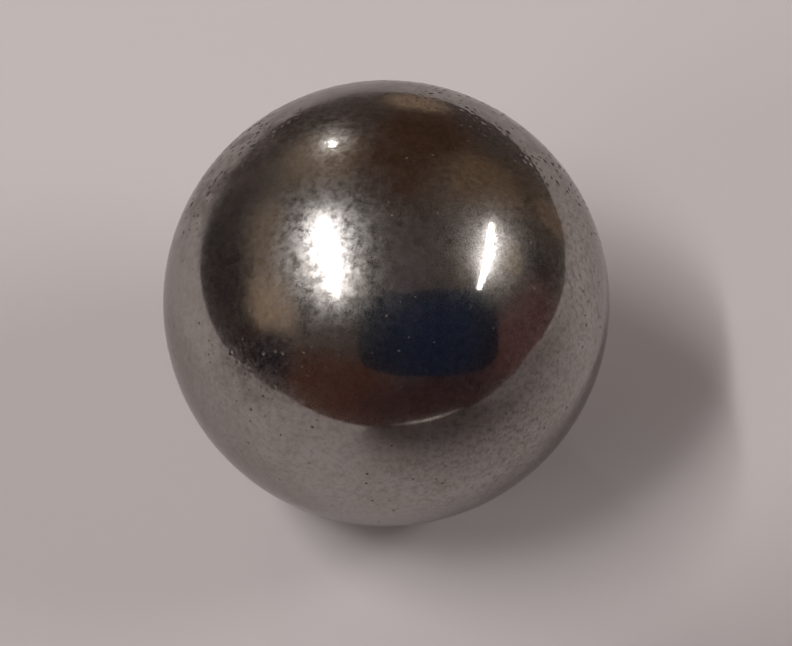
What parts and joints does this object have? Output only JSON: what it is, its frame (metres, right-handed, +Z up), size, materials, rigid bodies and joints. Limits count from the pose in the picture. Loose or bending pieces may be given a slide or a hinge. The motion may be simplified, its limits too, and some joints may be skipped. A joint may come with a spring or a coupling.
{
  "type": "steel ball",
  "caption": "Solid round steel ball, polished and worn, with a finely pitted surface; a loose ball that rolls, bears a load or serves as a weight.",
  "frame": {"origin": "the centre of the ball", "axes": "+Z is up as the ball lies; every diameter is alike, so X and Y may point any way"},
  "size_m": [0.0254, 0.0254, 0.0254],
  "materials": {
    "polished_steel": "bare bearing steel, polished and then worn: mirror bright with fine pits, shallow dings, faint grime and a hazy scuffed patch"
  },
  "bodies": {
    "root": {"ball": "polished_steel"}
  },
  "joints": []
}
